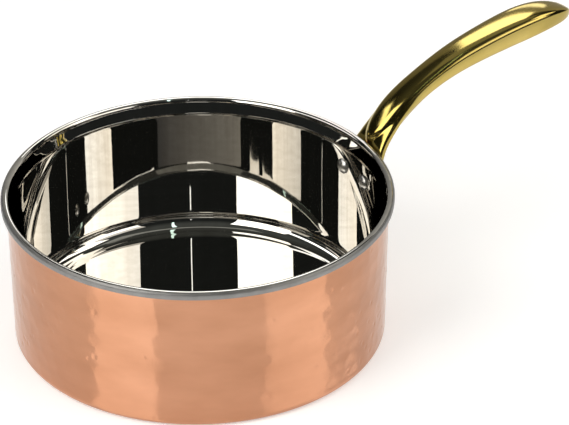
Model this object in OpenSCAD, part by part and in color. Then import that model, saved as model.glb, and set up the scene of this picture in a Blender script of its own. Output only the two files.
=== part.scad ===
// Steel-lined saucepan with a hammered copper jacket and a cast brass handle.
// Millimetres. The underside of the base rests on z = 0, the pan's axis is Z
// and the handle points along +X.

/* [Pan] */
// Diameter across the outside of the rolled rim
rim_d = 200; // [160:1:240]
// Height from the base to the top of the rim
pan_h = 80.7; // [66:0.1:120]
// How much narrower the copper wall is, per side, at the base than under the rim
wall_lean = 1.5; // [0.5:0.1:5]
// Outer corner radius between the wall and the base
corner_r = 4; // [2:0.1:7]
// Thickness of the copper jacket
jacket_t = 0.8; // [0.5:0.05:1.2]
// Thickness of the steel lining
liner_t = 1.6; // [1.4:0.05:2.2]
// Inner corner radius between the wall and the floor
floor_fillet_r = 8.5; // [5:0.1:14]
// Thickness of the heat-spreading disc between the two floors
core_t = 2.2; // [1:0.1:4]

/* [Rim] */
// Width of the rolled rim, seen from above
lip_w = 4.2; // [3.8:0.1:5]
// Height of the rim's outer face
lip_h = 3.9; // [3.4:0.1:5]
// How far the rim stands out past the copper wall
lip_overhang = 2.8; // [2.4:0.1:3.2]
// How far the copper's edge is tucked up inside the rim
tuck = 1.4; // [0.8:0.1:1.6]
// Depth of the crease inside, where the wall turns out towards the rim
crease_drop = 8.3; // [7:0.1:12]

/* [Handle] */
// Reach of the handle past the rim
handle_reach = 126; // [100:1:160]
// Rise of the handle's end above the rim
handle_rise = 44; // [34:1:60]
// Width of the grip
grip_w = 21.2; // [17:0.1:26]
// Thickness of the grip
grip_t = 14.6; // [11:0.1:18]
// Width of the riveted foot
foot_w = 38; // [34:0.5:46]
// Thickness of the riveted foot
foot_t = 4.4; // [3.4:0.1:6]
// Height of the foot below its rivets
foot_below = 12; // [9:0.5:16]
// Corner radius at the bottom of the foot
foot_corner = 7; // [4:0.5:9]

/* [Rivets] */
// Depth of the two rivets below the top of the rim
rivet_drop = 19; // [16:0.5:24]
// Distance between the two rivets
rivet_pitch = 20.7; // [16:0.1:23]
// Diameter of a rivet's shank
shank_d = 5; // [4:0.1:6]
// Diameter of the domed head inside the pan
dome_d = 8.2; // [7.5:0.1:9.5]
// Height of the domed head inside the pan
dome_h = 2.4; // [1.6:0.1:3]
// Diameter of the flattened head on the foot
peen_d = 8.6; // [7.5:0.1:10]
// Height of the flattened head on the foot
peen_h = 1.5; // [1:0.1:2.2]

/* [Hidden] */

// Clearances between the pieces
bond_gap = 0.05;
fold_gap = 0.1;
foot_gap = 0.25;
lip_clear = 1.2;
seat_gap = 0.05;
hole_gap = 0.1;
// Depth of the flat seat that is cut into the foot for each flattened head
spot_depth = 0.15;
// Extra length of every cut
over = 5;

// Radii and levels of the pan
rim_r = rim_d/2;
wall_top_r = rim_r - lip_overhang;
wall_foot_r = wall_top_r - wall_lean;
lip_low_z = pan_h - lip_h;
slope = wall_lean/lip_low_z;
skin_t = jacket_t + bond_gap;
wall_t = skin_t + liner_t;
liner_floor_t = liner_t*3/4;
core_z = jacket_t;
liner_z = core_z + core_t;
floor_z = liner_z + liner_floor_t;
lip_in_r = rim_r - lip_w;
lip_back_r = wall_top_r - skin_t;
lip_round_r = lip_w/2;
crease_z = pan_h - crease_drop;
rivet_z = pan_h - rivet_drop;
spot_x = foot_gap + foot_t - spot_depth;

// Radius of the copper wall's outside at a height
function wall_r(z) = wall_foot_r + slope*z;

// Radius of the lining's upright wall inside, which meets the copper just above the base
liner_r = wall_r(floor_z + floor_fillet_r) - wall_t;

// Half the outline of a flat-bottomed cup with a round bottom corner, whose wall leans out by rise
module cup_half(foot_r, low_z, top_z, round_r, rise = 0) {
    lean = atan(rise);
    round_x = foot_r + rise*(low_z + round_r) - round_r/cos(lean);
    polygon([
        [0, low_z],
        [round_x, low_z],
        [round_x + round_r*cos(lean), low_z + round_r - round_r*sin(lean)],
        [foot_r + rise*top_z, top_z],
        [0, top_z]
    ]);
    translate([round_x, low_z + round_r])
        circle(round_r, $fn = 96);
}

// Solid of revolution of an outline at the pan's axis
module spin() {
    rotate_extrude($fn = 180)
        children();
}

// The two places of the rivets, facing outwards along +X
module at_rivets() {
    turn = asin(rivet_pitch/2/wall_top_r);
    for (side = [-1, 1])
        rotate([0, 0, side*turn])
            translate([wall_r(rivet_z), 0, rivet_z])
                rotate([0, 90, 0])
                    children();
}

module rivet_holes() {
    at_rivets()
        cylinder(d = shank_d + 2*hole_gap, h = 2*(over + foot_t + wall_t), center = true, $fn = 48);
}

// Hammered copper cup, whose top edge is tucked up inside the rim
module copper_jacket() {
    top_z = lip_low_z + tuck;
    color("#d9946f")
    difference() {
        spin()
            difference() {
                cup_half(wall_foot_r, 0, top_z, corner_r, slope);
                cup_half(wall_foot_r - jacket_t, core_z, top_z + over, corner_r - jacket_t, slope);
            }
        rivet_holes();
    }
}

// Aluminium disc between the copper and the steel floor
module base_core() {
    color("#b8bcc0")
        translate([0, 0, core_z + seat_gap])
            cylinder(r = wall_foot_r - corner_r - bond_gap, h = core_t - 2*seat_gap, $fn = 180);
}

// The rolled rim's outline: a round top over an upright outer face
module lip_half() {
    translate([rim_r - lip_round_r, pan_h - lip_round_r])
        circle(lip_round_r, $fn = 96);
    translate([lip_in_r, lip_low_z])
        square([lip_w, lip_h - lip_round_r]);
}

// The pan's inner outline: floor, fillet, upright wall, and the flare above the crease
module inside_half() {
    cup_half(liner_r, floor_z, crease_z, floor_fillet_r);
    polygon([
        [0, crease_z],
        [liner_r, crease_z],
        [lip_in_r, pan_h - lip_round_r],
        [lip_in_r, pan_h + over],
        [0, pan_h + over]
    ]);
}

// The steel vessel's outer outline below the rim: an upright wall, flared out to the copper
module lining_half() {
    cup_half(liner_r + liner_t, liner_z, crease_z, floor_fillet_r + liner_floor_t);
    polygon([
        [0, crease_z],
        [liner_r + liner_t, crease_z],
        [lip_back_r, lip_low_z],
        [lip_back_r, pan_h - lip_round_r],
        [0, pan_h - lip_round_r]
    ]);
}

// Drawn steel vessel, rolled out over the copper's edge
module steel_liner() {
    slot_top_z = lip_low_z + tuck + fold_gap;
    color("#c9cccf")
    difference() {
        spin()
            difference() {
                union() {
                    lip_half();
                    lining_half();
                }
                inside_half();
                // Slot in the rim for the copper's edge
                polygon([
                    [wall_r(lip_low_z - over) - skin_t, lip_low_z - over],
                    [wall_r(slot_top_z) - skin_t, slot_top_z],
                    [wall_r(slot_top_z) + fold_gap, slot_top_z],
                    [wall_r(lip_low_z - over) + fold_gap, lip_low_z - over]
                ]);
            }
        rivet_holes();
    }
}

// Rows that the handle's smooth curve follows, from below the foot to past the tip. Each
// holds the distance from the axis, the height over the rim, the flange's half width, half
// thickness and squareness, and the body's lift, half width, half thickness and squareness.
body_w = grip_w/2;
body_t = grip_t/2;
foot_half = foot_t/2 + foot_gap;
foot_x = wall_r(rivet_z) + foot_gap + foot_t - foot_half;
foot_square = 5;
// The foot's half width at its waist and behind the rim, and the body's where it starts
waist_share = 0.42;
neck_share = 0.33;
start_shares = [0.3, 0.3, 0.8];
body_start = [body_t*start_shares[0], body_w*start_shares[1], body_t*start_shares[2], 2];
foot_rows = [
    for (below = [3/2, 1, 1/2, 0])
        concat([foot_x, -rivet_drop - foot_below*below, foot_w/2, foot_half, foot_square], body_start)
];
waist_rows = [
    concat([foot_x + foot_half/4, -rivet_drop + foot_below/2, foot_w*waist_share, foot_half, 4], body_start),
    concat([rim_r + lip_clear + foot_t/2, -lip_h*9/5, foot_w*neck_share, foot_half*5/4, 3], body_start)
];
// The same for the arm, as shares of the reach, the rise, and the grip's half width and half
// thickness; the squareness of the flange and of the body, 2 for an ellipse, is a plain number
arm_shares = [
    [0.055, 0, 1.02, 0.47, 2.6, 0.02, 0.56, 0.78, 2.4],
    [0.103, 0.165, 0.95, 0.49, 2.3, 0.02, 0.77, 0.81, 2.6],
    [0.172, 0.365, 0.84, 0.5, 2, 0, 0.80, 0.75, 2.8],
    [0.284, 0.56, 0.68, 0.58, 2, 0, 0.745, 0.715, 2.8],
    [0.429, 0.737, 0.68, 0.68, 2, 0, 0.81, 0.81, 3],
    [0.587, 0.849, 0.74, 0.77, 2, 0, 0.88, 0.90, 3.3],
    [0.746, 0.939, 0.80, 0.82, 2, 0, 0.94, 0.94, 3.7],
    [0.889, 0.98, 0.84, 0.80, 2, 0, 0.99, 0.92, 3.8],
    [1.01, 0.925, 0.86, 0.75, 2, 0, 1.02, 0.86, 3.8],
    [1.131, 0.82, 0.86, 0.72, 2, 0, 1.02, 0.82, 3.8]
];
arm_rows = [
    for (s = arm_shares)
        [rim_r + handle_reach*s[0], handle_rise*s[1], body_w*s[2], body_t*s[3], s[4],
            body_t*s[5], body_w*s[6], body_t*s[7], s[8]]
];
rows = concat(foot_rows, waist_rows, arm_rows);
// Steps along the curve, counted in rows: the foot's rounded end, the nose where the round
// body rises from the flange, and the tip's taper
last_step = len(rows) - 3;
foot_steps = foot_corner/foot_below*2;
nose_step = 4.3;
nose_steps = 1.3;
tip_steps = 2.2;
tip_bluntness = 0.56;
// Blend between the body and the flange, and rounding of the foot's lower edge
blend_r = foot_t/5;
foot_edge_r = foot_t/4;
// Sides of one section, and sections along the foot's end, the arm and the tip
SIDES = 40;
FOOT_RINGS = 6;
ARM_RINGS = 40;
TIP_RINGS = 9;

// Smooth curve through the rows
function along(t) =
    let (i = min(floor(t), len(rows) - 4), f = t - i, g = 1 - f)
    (g*g*g*rows[i] + (3*f*f*f - 6*f*f + 4)*rows[i + 1]
        + (3*g*g*g - 6*g*g + 4)*rows[i + 2] + f*f*f*rows[i + 3])/6;
// Quarter circle from 0 to 1, for a rounded end
function rounded(d) = d >= 1 ? 1 : d <= 0 ? 0 : sqrt(1 - (1 - d)*(1 - d));
function signed_power(v, p) = sign(v)*pow(abs(v), p);
// Distance from the flange's centre to the body's oval, along the direction (c, s), and how
// much a squarer oval adds to it
function oval_hit(c, s, w, h, lift) =
    let (a = c*c/w/w + s*s/h/h, b = s*lift/h/h, q = b*b - a*(lift*lift/h/h - 1))
    q < 0 ? 0 : max(0, (b + sqrt(q))/a);
function squared(c, s, w, h, p) =
    norm([c/w, s/h])/pow(pow(abs(c)/w, p) + pow(abs(s)/h, p), 1/p);
function blend_max(a, b, k) = (a + b + sqrt((a - b)*(a - b) + k*k))/2;

// Least distance from the axis at a height over the rim, which clears the rim and the wall
function clear_r(z) = z > -lip_h - lip_clear ? rim_r + lip_clear : wall_r(pan_h + z) + foot_gap;

// One section of the handle, square to the curve. Below the rim it bends round the wall.
function section(t) =
    let (
        row = along(t),
        ahead = along(min(t + 0.02, last_step)) - along(max(t - 0.02, 0)),
        way = [ahead[0], ahead[1]]/norm([ahead[0], ahead[1]]),
        up = [-way[1], way[0]],
        tip = pow(1 - pow(max(0, 1 + (t - last_step)/tip_steps), 2), tip_bluntness),
        tip_t = pow(tip, 0.8),
        nose = rounded((t - nose_step)/nose_steps),
        corner = foot_corner*(1 - rounded(t/foot_steps)),
        edge = foot_edge_r*(1 - rounded(t/foot_steps*2)),
        flange = [(row[2] - corner)*tip, (row[3] - edge)*tip_t],
        body = [row[6]*nose*tip, row[7]*nose*tip_t],
        wrap = max(0, min(1, 1/2 - row[1]/lip_h/2))
    )
    [for (j = [0:SIDES - 1])
        let (
            a = j*360/SIDES,
            y0 = flange[0]*signed_power(cos(a), 2/row[4]),
            m0 = flange[1]*signed_power(sin(a), 2/row[4]),
            far = norm([y0, m0]),
            hit = nose == 0 ? 0 : oval_hit(y0/far, m0/far, body[0], body[1], row[5]*tip)
                *squared(y0/far, m0/far, body[0], body[1], row[8]),
            grow = nose == 0 ? 1 : blend_max(far, hit, blend_r*tip*nose)/far,
            y = y0*grow,
            m = m0*grow,
            x = row[0] + up[0]*m - wrap*(rim_r - sqrt(rim_r*rim_r - y*y)),
            z = row[1] + up[1]*m,
            push = max(1, clear_r(z)/norm([x, y]))
        )
        [x*push, y*push, pan_h + z]
    ];

steps = concat(
    [for (i = [0:FOOT_RINGS - 1]) foot_steps*(1 - cos(i*90/FOOT_RINGS))],
    [for (i = [0:ARM_RINGS]) foot_steps + (last_step - tip_steps - foot_steps)*i/ARM_RINGS],
    [for (i = [1:TIP_RINGS]) last_step - tip_steps + tip_steps*sin(i*88/TIP_RINGS)]
);

// Skin over the sections, closed by a flat face at each end
module handle_body() {
    rings = [for (t = steps) section(t)];
    side_faces = [
        for (i = [0:len(rings) - 2])
            for (j = [0:SIDES - 1])
                let (next = (j + 1)%SIDES)
                [i*SIDES + j, (i + 1)*SIDES + j, (i + 1)*SIDES + next, i*SIDES + next]
    ];
    start_face = [for (j = [0:SIDES - 1]) j];
    end_face = [for (j = [0:SIDES - 1]) len(rings)*SIDES - 1 - j];
    polyhedron([for (r = rings) each r], concat([start_face], side_faces, [end_face]), convexity = 6);
}

// Cast brass handle: a riveted foot curved to the wall, a tapered nose, and a squarish oval arm
module handle() {
    color("#c9a227")
        difference() {
            handle_body();
            rivet_holes();
            at_rivets()
                translate([0, 0, spot_x])
                    cylinder(d = peen_d + 2*hole_gap, h = over, $fn = 64);
        }
}

// A domed head with a low upright edge, its flat side on z = 0 and sunk by skirt
module dome(d, h, skirt) {
    cap_h = h*4/5;
    ball_r = (d*d/4 + cap_h*cap_h)/2/cap_h;
    intersection() {
        translate([0, 0, h - ball_r])
            sphere(ball_r, $fn = 64);
        translate([0, 0, -skirt])
            cylinder(d = d, h = h + skirt, $fn = 64);
    }
}

// Everything outside the pan's inner face round the rivets, as half an outline
module wall_half() {
    low_z = rivet_z - dome_d;
    high_z = rivet_z + dome_d;
    polygon([
        [liner_r - seat_gap, low_z],
        [wall_r(low_z), low_z],
        [wall_r(high_z), high_z],
        [liner_r - seat_gap, high_z]
    ]);
}

// Two steel rivets through the wall and the foot, each domed inside and flattened outside
module handle_rivets() {
    inner_x = liner_r - seat_gap - wall_r(rivet_z);
    outer_x = spot_x + seat_gap;
    color("#9da0a3") {
        difference() {
            at_rivets()
                translate([0, 0, inner_x])
                    mirror([0, 0, 1])
                        dome(dome_d, dome_h, wall_t/4);
            spin()
                wall_half();
        }
        at_rivets() {
            translate([0, 0, outer_x])
                dome(peen_d, peen_h, 0);
            translate([0, 0, inner_x - dome_h/4])
                cylinder(d = shank_d, h = outer_x - inner_x + dome_h/4 + peen_h/4, $fn = 48);
        }
    }
}

copper_jacket();
steel_liner();
base_core();
handle();
handle_rivets();
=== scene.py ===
import math

import bpy
import numpy as np
from mathutils import Matrix, Vector


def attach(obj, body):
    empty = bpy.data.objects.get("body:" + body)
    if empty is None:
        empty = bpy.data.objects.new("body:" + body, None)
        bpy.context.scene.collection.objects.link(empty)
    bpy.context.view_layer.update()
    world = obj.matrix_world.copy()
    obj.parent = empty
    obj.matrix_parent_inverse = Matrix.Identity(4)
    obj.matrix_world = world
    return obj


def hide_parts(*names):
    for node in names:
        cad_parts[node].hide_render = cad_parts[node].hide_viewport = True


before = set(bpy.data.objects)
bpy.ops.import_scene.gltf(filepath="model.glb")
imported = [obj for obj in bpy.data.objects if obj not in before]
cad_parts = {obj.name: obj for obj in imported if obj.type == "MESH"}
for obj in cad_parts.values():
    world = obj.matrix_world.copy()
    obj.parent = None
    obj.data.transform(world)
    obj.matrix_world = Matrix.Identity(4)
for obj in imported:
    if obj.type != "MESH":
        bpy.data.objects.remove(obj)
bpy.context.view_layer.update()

scene = bpy.context.scene
MM = 0.001

# The pan's sizes, in millimetres, as in the CAD source
RIM_R = 100.0
PAN_H = 80.7
WALL_TOP_R = RIM_R - 2.8
WALL_LEAN = 1.5
WALL_FOOT_R = WALL_TOP_R - WALL_LEAN
CORNER_R = 4.0
JACKET_T = 0.8
SKIN_T = JACKET_T + 0.05
LINER_T = 1.6
WALL_T = SKIN_T + LINER_T
FILLET_R = 8.5
FLOOR_T = 1.2
LINER_Z = JACKET_T + 2.2
FLOOR_Z = LINER_Z + FLOOR_T
LIP_W = 4.2
LIP_H = 3.9
LIP_LOW_Z = PAN_H - LIP_H
LIP_IN_R = RIM_R - LIP_W
LIP_CLEAR = 1.2
CREASE_Z = PAN_H - 8.3
TUCK = 1.4
SLOPE = WALL_LEAN / LIP_LOW_Z
RIVET_DROP = 19.0
GRIP_W = 21.2
GRIP_T = 14.6
FOOT_W = 38.0
FOOT_T = 4.4
FOOT_BELOW = 12.0
FOOT_CORNER = 7.0
FOOT_GAP = 0.25
REACH = 126.0
# The rise is a hair under the CAD source's, whose facets lie just inside the smooth curve
RISE = 43.98


def wall_r(z):
    return WALL_FOOT_R + SLOPE * z


# Mesh helpers
def new_object(name, verts, faces, smooth=True):
    mesh = bpy.data.meshes.new(name)
    mesh.from_pydata([tuple(v) for v in verts], [], [tuple(f) for f in faces])
    mesh.validate()
    if smooth:
        mesh.polygons.foreach_set("use_smooth", [True] * len(mesh.polygons))
    mesh.update()
    obj = bpy.data.objects.new(name, mesh)
    scene.collection.objects.link(obj)
    return obj


def arc(cx, cz, r, a0, a1, n):
    """Points on an arc, angles in degrees from +r towards +z."""
    a = np.radians(np.linspace(a0, a1, n + 1))
    return list(zip(cx + r * np.cos(a), cz + r * np.sin(a)))


def line(p, q, n):
    """Points from p to q, leaving q out."""
    return [(p[0] + (q[0] - p[0]) * i / n, p[1] + (q[1] - p[1]) * i / n) for i in range(n)]


def lathe(name, profile, sides, shift):
    """A closed solid of revolution. profile runs from the axis round to the axis. shift(angle, r, z)
    gives a radial and a vertical move for all points at once."""
    prof = np.array(profile)
    ang = np.linspace(0, 2 * math.pi, sides, endpoint=False)
    a, r = np.meshgrid(ang, prof[:, 0])
    z = np.repeat(prof[:, 1][:, None], sides, axis=1)
    dr, dz = shift(a, r, z)
    r, z = r + dr, z + dz
    pts = np.stack([r * np.cos(a), r * np.sin(a), z], axis=-1) * MM
    verts, index = [], []
    for i in range(len(prof)):
        if prof[i, 0] < 1e-9:
            index.append([len(verts)] * sides)
            verts.append(pts[i, 0])
        else:
            index.append(list(range(len(verts), len(verts) + sides)))
            verts.extend(pts[i])
    faces = []
    for p, q in zip(index, index[1:]):
        for j in range(sides):
            k = (j + 1) % sides
            if p[j] == p[k]:
                faces.append((p[j], q[j], q[k]))
            elif q[j] == q[k]:
                faces.append((p[j], q[j], p[k]))
            else:
                faces.append((p[j], q[j], q[k], p[k]))
    return new_object(name, verts, faces)


# Copper jacket
rng = np.random.default_rng(7)
# The marks are laid out on the wall unrolled at this radius
UNROLL_R = 97
AROUND = 2 * math.pi * UNROLL_R
MARK_PITCH, MARK_ROW = 9.0, 7.6
MARK_LOW_Z, MARK_HIGH_Z = -2.0, 82
MARK_STRAY_S, MARK_STRAY_Z = 1.0, 1.2
MARK_R, MARK_DEPTH = (4.6, 6.6), (0.05, 0.14)
# Small pits from the hammer's edge
PITS, PIT_Z, PIT_R, PIT_DEPTH = 260, (3, 75), (1.1, 1.9), (0.17, 0.24)
# How softly two marks meet, and the side of the cells by which near marks are looked up
RIDGE, CELL = 0.012, 8.0
# The marks start above the corner and stop below the rim
FADE_FOOT_Z, FADE_FOOT, FADE_TOP_Z, FADE_TOP = 2.5, 3, 77.5, 2.5
# Only the points this near to the outer face are moved
OUTER_T = 0.3
JACKET_SIDES = 960


def hammer_field():
    """The hammer marks on the unrolled wall, as (arc length, height, radius, depth)."""
    marks = []
    z, row = MARK_LOW_Z, 0
    count = int(AROUND / MARK_PITCH)
    while z < MARK_HIGH_Z:
        start = rng.uniform(0, MARK_PITCH)
        for i in range(count):
            s = start + (i + 0.5 * (row % 2)) * AROUND / count + rng.normal(0, MARK_STRAY_S)
            at = z + rng.normal(0, MARK_STRAY_Z)
            marks.append((s % AROUND, at, rng.uniform(*MARK_R), rng.uniform(*MARK_DEPTH)))
        z += MARK_ROW
        row += 1
    for _ in range(PITS):
        s, at = rng.uniform(0, AROUND), rng.uniform(*PIT_Z)
        marks.append((s, at, rng.uniform(*PIT_R), rng.uniform(*PIT_DEPTH)))
    return np.array(marks)


def hammer_depth(s, z, marks):
    """Depth of the hammered surface at (s, z), smooth inside each mark, with soft ridges between."""
    out = np.zeros_like(s)
    keys = {}
    for k, m in enumerate(marks):
        keys.setdefault((int(m[0] // CELL), int(m[1] // CELL)), []).append(k)
    n_cells = int(AROUND // CELL) + 1
    ci, cj = (s // CELL).astype(int), (z // CELL).astype(int)
    for i in range(n_cells):
        near_i = [(i + d) % n_cells for d in (-1, 0, 1)]
        for j in range(int(z.min() // CELL) - 1, int(z.max() // CELL) + 2):
            sel = (ci == i) & (cj == j)
            if not sel.any():
                continue
            ids = [k for a in near_i for b in (j - 1, j, j + 1) for k in keys.get((a, b), [])]
            if not ids:
                continue
            m = marks[ids]
            ds = s[sel][:, None] - m[None, :, 0]
            ds = (ds + AROUND / 2) % AROUND - AROUND / 2
            dz = z[sel][:, None] - m[None, :, 1]
            q = (ds * ds + dz * dz) / m[None, :, 2] ** 2
            bowl = m[None, :, 3] * (1 - q)
            out[sel] = RIDGE * np.log(np.exp(bowl / RIDGE).sum(1) + 1)
    return out


MARKS = hammer_field()


def jacket_shift(a, r, z):
    """Hammer marks go inwards only, and fade out at the base and under the rim."""
    s = (a * UNROLL_R) % AROUND
    outside = (r > wall_r(z) - OUTER_T) & (z > FADE_FOOT_Z)
    depth = hammer_depth(s.ravel(), z.ravel(), MARKS).reshape(s.shape)
    fade = np.clip((z - FADE_FOOT_Z) / FADE_FOOT, 0, 1) * np.clip((FADE_TOP_Z - z) / FADE_TOP, 0, 1)
    return -depth * fade * outside, np.zeros_like(z)


# The meshes of the floors: the first ring's radius, and the number of rings
HUB_R, FLOOR_RINGS = 2.0, 24


def cup_side(foot_r, low_z, top_z, round_r, n_wall, n_corner, rise=0.0):
    """From the axis along the bottom, round the corner and up the wall, which leans out by rise."""
    lean = math.atan(rise)
    cx = foot_r + rise * (low_z + round_r) - round_r / math.cos(lean)
    cz = low_z + round_r
    pts = [(0.0, low_z)] + line((HUB_R, low_z), (cx, low_z), FLOOR_RINGS)
    pts += arc(cx, cz, round_r, -90, -math.degrees(lean), n_corner)
    top = (foot_r + rise * top_z, top_z)
    pts += line(pts[-1], top, n_wall)[1:] + [top]
    return pts


JACKET_TOP_Z = LIP_LOW_Z + TUCK
outer = cup_side(WALL_FOOT_R, 0.0, JACKET_TOP_Z, CORNER_R, 120, 12, SLOPE)
inner = cup_side(WALL_FOOT_R - JACKET_T, JACKET_T, JACKET_TOP_Z, CORNER_R - JACKET_T, 12, 6, SLOPE)
jacket = lathe("copper_jacket_hammered", outer + inner[::-1], JACKET_SIDES, jacket_shift)

# Steel liner. Its wall stands upright, and a slot under the rim takes the jacket's edge
LIP_EDGE_R, SLOT_GAP = 0.35, 0.1
LINER_SIDES = 720
# The bend at the foot of the flared band, as moves out and up from the crease, and where it starts
BEND = [(0.01, -0.3), (0.04, 0), (0.1, 0.4), (0.16, 0.8)]
BEND_BELOW = 0.6
# The first steps of the mesh down the rim's side and in along its underside
SIDE_STEP, UNDER_STEP = 0.3, 0.6
in_r = wall_r(FLOOR_Z + FILLET_R) - WALL_T
lip_r = LIP_W / 2
lip_cx, lip_cz = RIM_R - lip_r, PAN_H - lip_r
slot_r = wall_r(LIP_LOW_Z) + SLOT_GAP
slot_top = JACKET_TOP_Z + SLOT_GAP
back_r = wall_r(LIP_LOW_Z) - SKIN_T
liner_in = cup_side(in_r, FLOOR_Z, CREASE_Z - BEND_BELOW, FILLET_R, 40, 28)
bend = [(in_r + out, CREASE_Z + up) for out, up in BEND]
rim_part = bend[:-1] + line(bend[-1], (LIP_IN_R, lip_cz), 10)
rim_part += arc(lip_cx, lip_cz, lip_r, 180, 0, 32)
rim_part += line((RIM_R, lip_cz - SIDE_STEP), (RIM_R, LIP_LOW_Z + LIP_EDGE_R), 4)
rim_part += arc(RIM_R - LIP_EDGE_R, LIP_LOW_Z + LIP_EDGE_R, LIP_EDGE_R, 0, -90, 5)
rim_part += line((slot_r + UNDER_STEP, LIP_LOW_Z), (slot_r, LIP_LOW_Z), 3)
rim_part += [(slot_r, LIP_LOW_Z), (slot_r, slot_top), (back_r, slot_top)]
liner_out = cup_side(in_r + LINER_T, LINER_Z, CREASE_Z, FILLET_R + FLOOR_T, 20, 12)
liner_out.append((back_r, LIP_LOW_Z))

# The band's waves, as (number round the pan, height), and the turn of each one after the last. The
# fine wave leans as well
BAND_WAVES = [(23, 0.02), (37, 0.012), (61, 0.008), (11, 0.03)]
WAVE_TURN = 1.36
FINE_COUNT, FINE_LEAN, FINE_HEIGHT = 47, 0.9, 0.005
# How far the waves go below the crease and above the rim's middle, how they fade there, and how far out
BAND_BELOW, BAND_ABOVE, BAND_FADE, BAND_OUT_R = 1.5, 1.0, 3.0, 97
# The outside of the rim is drawn in by this, and so stays inside the CAD model's facets
LIP_INSET, INSET_FROM_R = 0.035, RIM_R - 1.5


def liner_shift(a, r, z):
    """The flared band is rolled by hand and is a little wavy. The waves fade out at both its edges."""
    low, high = (z - CREASE_Z + BAND_BELOW) / BAND_FADE, (lip_cz + BAND_ABOVE - z) / BAND_FADE
    band = np.clip(low, 0, 1) * np.clip(high, 0, 1) * (r < BAND_OUT_R)
    ripple = FINE_HEIGHT * np.sin(FINE_COUNT * a + z * FINE_LEAN)
    for i, (count, height) in enumerate(BAND_WAVES):
        ripple = ripple + height * np.sin(count * a + WAVE_TURN * (i + 1))
    return ripple * band - LIP_INSET * np.clip(r - INSET_FROM_R, 0, 1), np.zeros_like(z)


liner = lathe("steel_liner_polished", liner_in + rim_part + liner_out[::-1], LINER_SIDES, liner_shift)

# Handle: a run of sections from the foot to the tip, smoothed as a spline. Each row gives the place
# of the section's middle (x, z), the half width, half height and power of its flat part, and the
# lift, half width, half height and power of its rounded part
BODY_W, BODY_T = GRIP_W / 2, GRIP_T / 2
FOOT_HALF = FOOT_T / 2 + FOOT_GAP
FOOT_X = wall_r(PAN_H - RIVET_DROP) + FOOT_GAP + FOOT_T - FOOT_HALF
START = [BODY_T * 0.3, BODY_W * 0.3, BODY_T * 0.8, 2]
rows = []
for b in (1.5, 1, 0.5, 0):
    rows.append([FOOT_X, -RIVET_DROP - FOOT_BELOW * b, FOOT_W / 2, FOOT_HALF, 5] + START)
rows.append([FOOT_X + FOOT_HALF / 4, -RIVET_DROP + FOOT_BELOW / 2, FOOT_W * 0.42, FOOT_HALF, 4] + START)
rows.append([RIM_R + LIP_CLEAR + FOOT_T / 2, -LIP_H * 9 / 5, FOOT_W * 0.33, FOOT_HALF * 1.25, 3] + START)
# The arm's rows, as shares of the reach, the rise and the grip's half width and half height
ARM = [
    [0.055, 0, 1.02, 0.47, 2.6, 0.02, 0.56, 0.78, 2.4],
    [0.103, 0.165, 0.95, 0.49, 2.3, 0.02, 0.77, 0.81, 2.6],
    [0.172, 0.365, 0.84, 0.5, 2, 0, 0.80, 0.75, 2.8],
    [0.284, 0.56, 0.68, 0.58, 2, 0, 0.745, 0.715, 2.8],
    [0.429, 0.737, 0.68, 0.68, 2, 0, 0.81, 0.81, 3],
    [0.587, 0.849, 0.74, 0.77, 2, 0, 0.88, 0.90, 3.3],
    [0.746, 0.939, 0.80, 0.82, 2, 0, 0.94, 0.94, 3.7],
    [0.889, 0.98, 0.84, 0.80, 2, 0, 0.99, 0.92, 3.8],
    [1.01, 0.925, 0.86, 0.75, 2, 0, 1.02, 0.86, 3.8],
    [1.131, 0.82, 0.86, 0.72, 2, 0, 1.02, 0.82, 3.8],
]
for s in ARM:
    arm = [RIM_R + REACH * s[0], RISE * s[1], BODY_W * s[2], BODY_T * s[3], s[4]]
    rows.append(arm + [BODY_T * s[5], BODY_W * s[6], BODY_T * s[7], s[8]])
ROWS = np.array(rows, float)
LAST = len(ROWS) - 3
# Lengths along the handle, in rows: the foot's rounded end, the nose and the rounded tip
FOOT_STEPS = FOOT_CORNER / FOOT_BELOW * 2
NOSE_STEP, NOSE_STEPS, TIP_STEPS = 4.3, 1.3, 2.2
TIP_BLUNT, TIP_FLAT = 0.56, 0.8
BLEND_R, FOOT_EDGE_R = FOOT_T / 5, FOOT_T / 4
HANDLE_SIDES, FOOT_RINGS, ARM_RINGS, TIP_RINGS = 112, 14, 190, 22
# The tip's rings go round nearly to 90 degrees, so the last one still has a width
TIP_TURN = 88
# A section faces the way from a little before it to a little after it
NEAR = 0.02


def along(t):
    """The section's row at t, between the rows of the table."""
    i = int(min(math.floor(t), len(ROWS) - 4))
    f = t - i
    g = 1 - f
    near = (3 * f**3 - 6 * f**2 + 4) * ROWS[i + 1] + (3 * g**3 - 6 * g**2 + 4) * ROWS[i + 2]
    return (g**3 * ROWS[i] + near + f**3 * ROWS[i + 3]) / 6


def rounded(d):
    """A quarter of a circle: 0 up to 0, then rising ever less steeply, and 1 from 1 on."""
    return 1.0 if d >= 1 else 0.0 if d <= 0 else math.sqrt(1 - (1 - d) ** 2)


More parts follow.
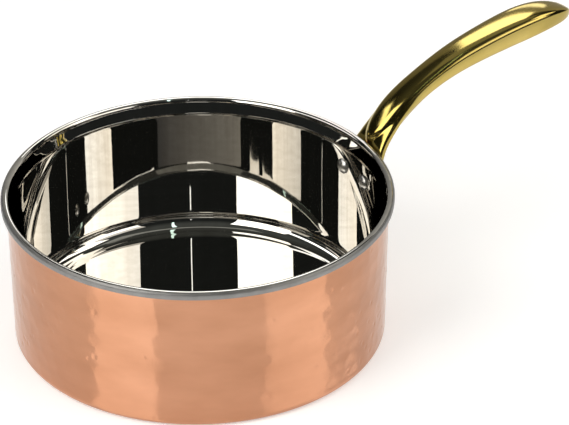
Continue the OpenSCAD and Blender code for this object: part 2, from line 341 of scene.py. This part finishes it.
def section(t):
    """One ring of the handle: the outline of its flat and its rounded part together, blended where
    they meet, curved to the wall at the foot, and kept clear of the wall and the rim."""
    row = along(t)
    ahead = along(min(t + NEAR, LAST)) - along(max(t - NEAR, 0))
    way = ahead[:2] / np.linalg.norm(ahead[:2])
    up = np.array([-way[1], way[0]])
    tip = (1 - max(0, 1 + (t - LAST) / TIP_STEPS) ** 2) ** TIP_BLUNT
    tip_t = tip**TIP_FLAT
    nose = rounded((t - NOSE_STEP) / NOSE_STEPS)
    corner = FOOT_CORNER * (1 - rounded(t / FOOT_STEPS))
    edge = FOOT_EDGE_R * (1 - rounded(t / FOOT_STEPS * 2))
    fw, fh = (row[2] - corner) * tip, (row[3] - edge) * tip_t
    bw, bh = row[6] * nose * tip, row[7] * nose * tip_t
    wrap = max(0, min(1, 0.5 - row[1] / LIP_H / 2))
    a = np.linspace(0, 2 * math.pi, HANDLE_SIDES, endpoint=False)
    c, s = np.cos(a), np.sin(a)
    y0 = fw * np.sign(c) * np.abs(c) ** (2 / row[4])
    m0 = fh * np.sign(s) * np.abs(s) ** (2 / row[4])
    far = np.hypot(y0, m0)
    if nose > 0:
        cc, ss, lift = y0 / far, m0 / far, row[5] * tip
        qa = cc**2 / bw**2 + ss**2 / bh**2
        qb = ss * lift / bh**2
        q = qb**2 - qa * (lift**2 / bh**2 - 1)
        hit = np.where(q < 0, 0, np.maximum(0, (qb + np.sqrt(np.maximum(q, 0))) / qa))
        p = row[8]
        hit *= np.sqrt(qa) / (np.abs(cc / bw) ** p + np.abs(ss / bh) ** p) ** (1 / p)
        k = BLEND_R * tip * nose
        grow = (far + hit + np.sqrt((far - hit) ** 2 + k * k)) / 2 / far
    else:
        grow = np.ones(HANDLE_SIDES)
    y, m = y0 * grow, m0 * grow
    x = row[0] + up[0] * m - wrap * (RIM_R - np.sqrt(RIM_R**2 - y * y))
    z = row[1] + up[1] * m
    least = np.where(z > -LIP_H - LIP_CLEAR, RIM_R + LIP_CLEAR, wall_r(PAN_H + z) + FOOT_GAP)
    push = np.maximum(1, least / np.hypot(x, y))
    return np.stack([x * push, y * push, PAN_H + z], axis=-1)


def handle_mesh():
    steps = [FOOT_STEPS * (1 - math.cos(math.radians(i * 90 / FOOT_RINGS))) for i in range(FOOT_RINGS)]
    span = LAST - TIP_STEPS - FOOT_STEPS
    steps += [FOOT_STEPS + span * i / ARM_RINGS for i in range(ARM_RINGS + 1)]
    for i in range(1, TIP_RINGS + 1):
        steps.append(LAST - TIP_STEPS + TIP_STEPS * math.sin(math.radians(i * TIP_TURN / TIP_RINGS)))
    verts = np.concatenate([section(t) for t in steps]) * MM
    n, sides = len(steps), HANDLE_SIDES
    faces = [list(range(sides))]
    for i in range(n - 1):
        for j in range(sides):
            k = (j + 1) % sides
            faces.append([i * sides + j, (i + 1) * sides + j, (i + 1) * sides + k, i * sides + k])
    faces.append([n * sides - 1 - j for j in range(sides)])
    return new_object("handle_cast", verts, faces)


handle = handle_mesh()


# Materials
def mapped_noise(nt, scale, detail, stretch=(1, 1, 1), rough=0.5):
    coords = nt.nodes.new("ShaderNodeTexCoord")
    mapping = nt.nodes.new("ShaderNodeMapping")
    mapping.inputs["Scale"].default_value = stretch
    noise = nt.nodes.new("ShaderNodeTexNoise")
    noise.inputs["Scale"].default_value = scale
    noise.inputs["Detail"].default_value = detail
    noise.inputs["Roughness"].default_value = rough
    nt.links.new(coords.outputs["Object"], mapping.inputs["Vector"])
    nt.links.new(mapping.outputs["Vector"], noise.inputs["Vector"])
    return noise.outputs["Fac"]


def ramp(nt, source, stops):
    """Two colours at two places, blended in between."""
    node = nt.nodes.new("ShaderNodeValToRGB")
    for element, (place, colour) in zip(node.color_ramp.elements, stops):
        element.position = place
        element.color = (*colour, 1)
    nt.links.new(source, node.inputs["Fac"])
    return node.outputs["Color"]


def to_range(nt, source, lo, hi):
    node = nt.nodes.new("ShaderNodeMapRange")
    node.inputs["To Min"].default_value = lo
    node.inputs["To Max"].default_value = hi
    nt.links.new(source, node.inputs["Value"])
    return node.outputs["Result"]


def metal(name, dark, light, rough, scales, bump, stretch=(1, 1, 1), bump_stretch=(1, 1, 1)):
    """A metal with its colour from dark to light and its roughness over the range rough. scales are
    those of the noise of its colour, roughness and bump, and bump is the bump's depth in metres."""
    m = bpy.data.materials.new(name)
    m.use_nodes = True
    nt = m.node_tree
    shader = nt.nodes["Principled BSDF"]
    shader.inputs["Metallic"].default_value = 1.0
    tint = mapped_noise(nt, scales[0], 3, stretch)
    nt.links.new(ramp(nt, tint, [(0.3, dark), (0.7, light)]), shader.inputs["Base Color"])
    wear = mapped_noise(nt, scales[1], 4, stretch, 0.6)
    nt.links.new(to_range(nt, wear, *rough), shader.inputs["Roughness"])
    relief = mapped_noise(nt, scales[2], 2, bump_stretch)
    node = nt.nodes.new("ShaderNodeBump")
    node.inputs["Strength"].default_value = 1.0
    node.inputs["Distance"].default_value = bump
    nt.links.new(relief, node.inputs["Height"])
    nt.links.new(node.outputs["Normal"], shader.inputs["Normal"])
    return m


copper = metal(
    "hammered_copper", (0.52, 0.252, 0.145), (0.60, 0.30, 0.18), (0.095, 0.15), (45, 180, 300), 0.00001,
    stretch=(0.6, 0.6, 1.6),
)
# Drawn steel, whose streaks run up the wall
steel = metal(
    "polished_steel", (0.595, 0.575, 0.54), (0.68, 0.665, 0.635), (0.012, 0.024), (150, 90, 26), 0.00005,
    stretch=(1, 1, 0.05), bump_stretch=(1, 1, 0.6),
)
# Satin steel for the rim's outer side: its rougher finish is real, and its colour, about half the polished
# steel's, is painted shade
satin_and_shade = metal(
    "satin_steel_painted_shade", (0.27, 0.267, 0.262), (0.33, 0.327, 0.322), (0.44, 0.54), (120, 400, 700), 0.00001,
)
brass = metal(
    "cast_brass", (0.43, 0.33, 0.088), (0.49, 0.38, 0.118), (0.10, 0.17), (60, 160, 90), 0.00003,
)
rivet = metal(
    "rivet_steel", (0.42, 0.41, 0.39), (0.58, 0.57, 0.55), (0.22, 0.36), (300, 500, 500), 0.00002,
)
core = metal(
    "core_aluminium", (0.68, 0.69, 0.70), (0.76, 0.77, 0.78), (0.35, 0.5), (80, 300, 500), 0.00001,
)

jacket.data.materials.append(copper)
handle.data.materials.append(brass)
liner.data.materials.append(steel)
liner.data.materials.append(satin_and_shade)
# The outer side of the rolled rim is satin, with its colour darkened well below the polished steel's as
# painted shade, and the rest of the lining is polished
SATIN_SHADE_R, SATIN_SHADE_Z = RIM_R - 1.1, LIP_LOW_Z - 0.1
for poly in liner.data.polygons:
    c = poly.center / MM
    if math.hypot(c.x, c.y) > SATIN_SHADE_R and c.z > SATIN_SHADE_Z:
        poly.material_index = 1
for name, mat in (("handle_rivets", rivet), ("base_core", core)):
    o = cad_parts[name]
    o.data.materials.clear()
    o.data.materials.append(mat)
    o.data.polygons.foreach_set("use_smooth", [True] * len(o.data.polygons))

for piece, node, slot in (
    (jacket, "copper_jacket", "hammered_copper"),
    (liner, "steel_liner", "polished_steel"),
    (handle, "handle", "cast_brass"),
):
    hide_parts(node)
    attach(piece, "root")

# Studio. Its places are in metres from the middle of the rim, in the photograph's own directions: x to
# the right, y away from the camera and z up. TURN takes them to the frame, whose +X is the handle's
TURN = Matrix.Rotation(math.radians(-31.0), 4, "Z")
SHOWN = ("Is Camera Ray", "Is Glossy Ray", "Is Transmission Ray")


def studio(v):
    return TURN @ Vector((v[0], v[1], v[2])) + Vector((0, 0, PAN_H * MM))


def any_ray(nt, rays):
    """1 for the rays of these kinds, and 0 for the others."""
    path = nt.nodes.new("ShaderNodeLightPath")
    out = path.outputs[rays[0]]
    for ray in rays[1:]:
        either = nt.nodes.new("ShaderNodeMath")
        either.operation = "MAXIMUM"
        nt.links.new(out, either.inputs[0])
        nt.links.new(path.outputs[ray], either.inputs[1])
        out = either.outputs[0]
    return out


def emission(name, stops, glossy, diffuse, axis="X"):
    """Light from a card, with its colours along an axis of its box. Reflections see the strength
    glossy, and everything else gets the strength diffuse."""
    m = bpy.data.materials.new(name)
    m.use_nodes = True
    nt = m.node_tree
    nt.nodes.clear()
    out = nt.nodes.new("ShaderNodeOutputMaterial")
    glow = nt.nodes.new("ShaderNodeEmission")
    coords = nt.nodes.new("ShaderNodeTexCoord")
    parts = nt.nodes.new("ShaderNodeSeparateXYZ")
    nt.links.new(coords.outputs["Generated"], parts.inputs[0])
    nt.links.new(ramp(nt, parts.outputs[axis], stops), glow.inputs["Color"])
    strength = to_range(nt, any_ray(nt, ["Is Glossy Ray"]), diffuse, glossy)
    nt.links.new(strength, glow.inputs["Strength"])
    nt.links.new(glow.outputs[0], out.inputs["Surface"])
    return m


def card(name, place, turn, half, colours, strengths):
    """A flat lit card in the studio, seen in reflections but not by the camera. turn is its yaw, pitch
    and roll, half is its half width and half height, colours are those of its two sides, and strengths
    are what reflections see and what everything else gets."""
    yaw, pitch, roll = turn
    w, h = half
    cy, sy, cp, sp = math.cos(yaw), math.sin(yaw), math.cos(pitch), math.sin(pitch)
    n = np.array([sy * cp, -cy * cp, sp])
    u = np.array([cy, sy, 0.0])
    v = np.cross(n, u)
    cr, sr = math.cos(roll), math.sin(roll)
    u, v = cr * u + sr * v, -sr * u + cr * v
    obj = new_object(name, [(-w, -h, 0), (w, -h, 0), (w, h, 0), (-w, h, 0)], [(0, 1, 2, 3)], smooth=False)
    axes = [TURN.to_3x3() @ Vector(a) for a in (u, v, n)]
    pose = Matrix(axes).transposed().to_4x4()
    pose.translation = studio(place)
    obj.matrix_world = pose
    obj.data.materials.append(emission(name, list(zip((0.0, 1.0), colours)), *strengths))
    obj.visible_camera = False
    obj.visible_shadow = False


WARM, WHITE, CREAM, TUBE = (1.0, 0.95, 0.86), (1.0, 1.0, 0.98), (1.0, 1.0, 0.9), (0.75, 1.0, 0.93)
DIM_WARM, GREY, DARK_GREY = (0.62, 0.60, 0.56), (0.55, 0.53, 0.48), (0.10, 0.10, 0.10)
LEFT, TOP, STRIP = (-0.806, 0.307, 0.183), (3.594, 0.747, -0.188), (-0.1, 0, 0)
RIGHT, BACK, FAR = (math.radians(62), 0, 0), (math.pi, 0, 0), (-1.553, 0, 0)
SIDE, SIDE_2 = (math.radians(95), 0, 0.10), (math.radians(95), 0, -0.10)
DOWN, DOWN_TURNED = (0, math.radians(90), 0), (math.radians(-76), math.radians(90), 0)
card("softbox_left", (-0.575, -0.540, 0.669), LEFT, (0.303, 0.451), (WARM, WHITE), (3.4, 4.0))
card("softbox_right", (1.238, -0.653, 0.790), RIGHT, (0.525, 0.210), (DIM_WARM, WARM), (3.4, 3.0))
card("softbox_right_high", (1.238, -0.653, 1.250), RIGHT, (0.525, 0.250), (WARM, WARM), (0.95, 3.0))
card("softbox_right_low", (1.238, -0.653, 0.465), RIGHT, (0.525, 0.115), (WARM, WARM), (1.3, 3.0))
card("softbox_side", (1.373, 0.372, 1.436), SIDE, (0.160, 0.585), (WARM, WARM), (2.6, 1.5))
card("softbox_side_2", (1.404, 0.016, 1.440), SIDE_2, (0.199, 0.585), (WARM, WARM), (2.6, 1.5))
card("softbox_top", (0.044, 1.212, 1.500), TOP, (0.365, 0.510), (WHITE, WHITE), (3.2, 2.4))
card("backdrop", (0.1, 1.6, 0.65), BACK, (2.1, 1.0), (GREY, DARK_GREY), (1.0, 0.6))
card("backdrop_low", (0.225, 1.55, 0.635), BACK, (0.225, 0.135), (WHITE, WHITE), (2.4, 0.0))
card("softbox_far", (-0.906, 0.045, 0.785), FAR, (0.52, 0.115), (WHITE, WHITE), (3.0, 0.0))
card("ceiling", (0.15, 0.45, 1.5), DOWN, (0.60, 0.42), (CREAM, CREAM), (0.32, 0.0))
card("light_strip", (0.140, -1.2, 0.73), STRIP, (0.006, 0.07), (WHITE, WHITE), (3.0, 0.0))
card("ceiling_tube", (0.38, -0.83, 1.5), DOWN_TURNED, (0.70, 0.020), (TUBE, TUBE), (2.5, 0.0))

# Dark studio around, seen in reflections only. It gets lighter towards the top
DOME_R, DOME_GLOW = 6.0, 0.34
bpy.ops.mesh.primitive_uv_sphere_add(segments=48, ring_count=24, radius=DOME_R, location=(0, 0, 0))
dome = bpy.context.object
dome.name = "dark_studio"
sky = [(0.82, (0.05, 0.055, 0.052)), (0.94, (0.20, 0.21, 0.19))]
dome.data.materials.append(emission("dark_studio", sky, DOME_GLOW, 0.0, "Z"))
dome.visible_camera = False
dome.visible_diffuse = False
dome.visible_shadow = False

# Floor: white board. The camera sees it matt and lifted towards white, and reflections see its sheen
# too, which mirrors the softboxes. It lies a hair under the pan
SHEEN, LIFT, FLOOR_HALF, FLOOR_DROP = 0.17, 0.34, 3, 0.0002
board = bpy.data.materials.new("floor")
board.use_nodes = True
nt = board.node_tree
matt = nt.nodes["Principled BSDF"]
matt.inputs["Base Color"].default_value = (0.90, 0.90, 0.90, 1)
matt.inputs["Roughness"].default_value = 0.9
matt.inputs["Specular IOR Level"].default_value = 0.0
sheen = nt.nodes.new("ShaderNodeBsdfGlossy")
sheen.inputs["Roughness"].default_value = 0.08
mix = nt.nodes.new("ShaderNodeMixShader")
nt.links.new(to_range(nt, any_ray(nt, ["Is Glossy Ray"]), 0.0, SHEEN), mix.inputs["Fac"])
nt.links.new(matt.outputs[0], mix.inputs[1])
nt.links.new(sheen.outputs[0], mix.inputs[2])
lift = nt.nodes.new("ShaderNodeEmission")
nt.links.new(to_range(nt, any_ray(nt, SHOWN), 0.0, LIFT), lift.inputs["Strength"])
both = nt.nodes.new("ShaderNodeAddShader")
nt.links.new(mix.outputs[0], both.inputs[0])
nt.links.new(lift.outputs[0], both.inputs[1])
nt.links.new(both.outputs[0], nt.nodes["Material Output"].inputs["Surface"])
d = FLOOR_HALF
floor = new_object("floor", [(-d, -d, 0), (d, -d, 0), (d, d, 0), (-d, d, 0)], [(0, 1, 2, 3)], smooth=False)
floor.location.z = -FLOOR_DROP
floor.data.materials.append(board)

# White world. The camera and the reflections see it brighter than the light that it gives
WORLD_LIGHT, WORLD_SEEN = 0.6, 1.0
world = bpy.data.worlds.new("studio")
scene.world = world
world.use_nodes = True
nt = world.node_tree
background = nt.nodes["Background"]
background.inputs["Color"].default_value = (1, 1, 1, 1)
nt.links.new(to_range(nt, any_ray(nt, SHOWN), WORLD_LIGHT, WORLD_SEEN), background.inputs["Strength"])

# Camera, as solved from the photograph: its pitch and roll, its place in rim radii from the middle of
# the rim, along its own axes, and its focal length in pixels
PITCH, ROLL = math.radians(30.633), math.radians(0.269)
TX, TY, TZ, FOCAL = -0.4398, -0.1161, 18.0, 3550.3
PHOTO_W, SENSOR_W = 569.0, 36.0
c, s = math.cos(PITCH), math.sin(PITCH)
right, fwd, down = np.array([1, 0, 0.0]), np.array([0, c, -s]), np.array([0, -s, -c])
cr, sr = math.cos(ROLL), math.sin(ROLL)
view = np.array([cr * right + sr * down, -sr * right + cr * down, fwd])
where = -(view.T @ np.array([TX, TY, TZ])) * RIM_R * MM
cam_data = bpy.data.cameras.new("photo_camera")
cam = bpy.data.objects.new("photo_camera", cam_data)
scene.collection.objects.link(cam)
axes = [TURN.to_3x3() @ Vector(a) for a in (view[0], -view[1], -view[2])]
pose = Matrix(axes).transposed().to_4x4()
pose.translation = studio(where)
cam.matrix_world = pose
cam_data.sensor_width = SENSOR_W
cam_data.lens = FOCAL * SENSOR_W / PHOTO_W
cam_data.clip_end = 50.0
scene.camera = cam

scene.view_settings.view_transform = "Standard"
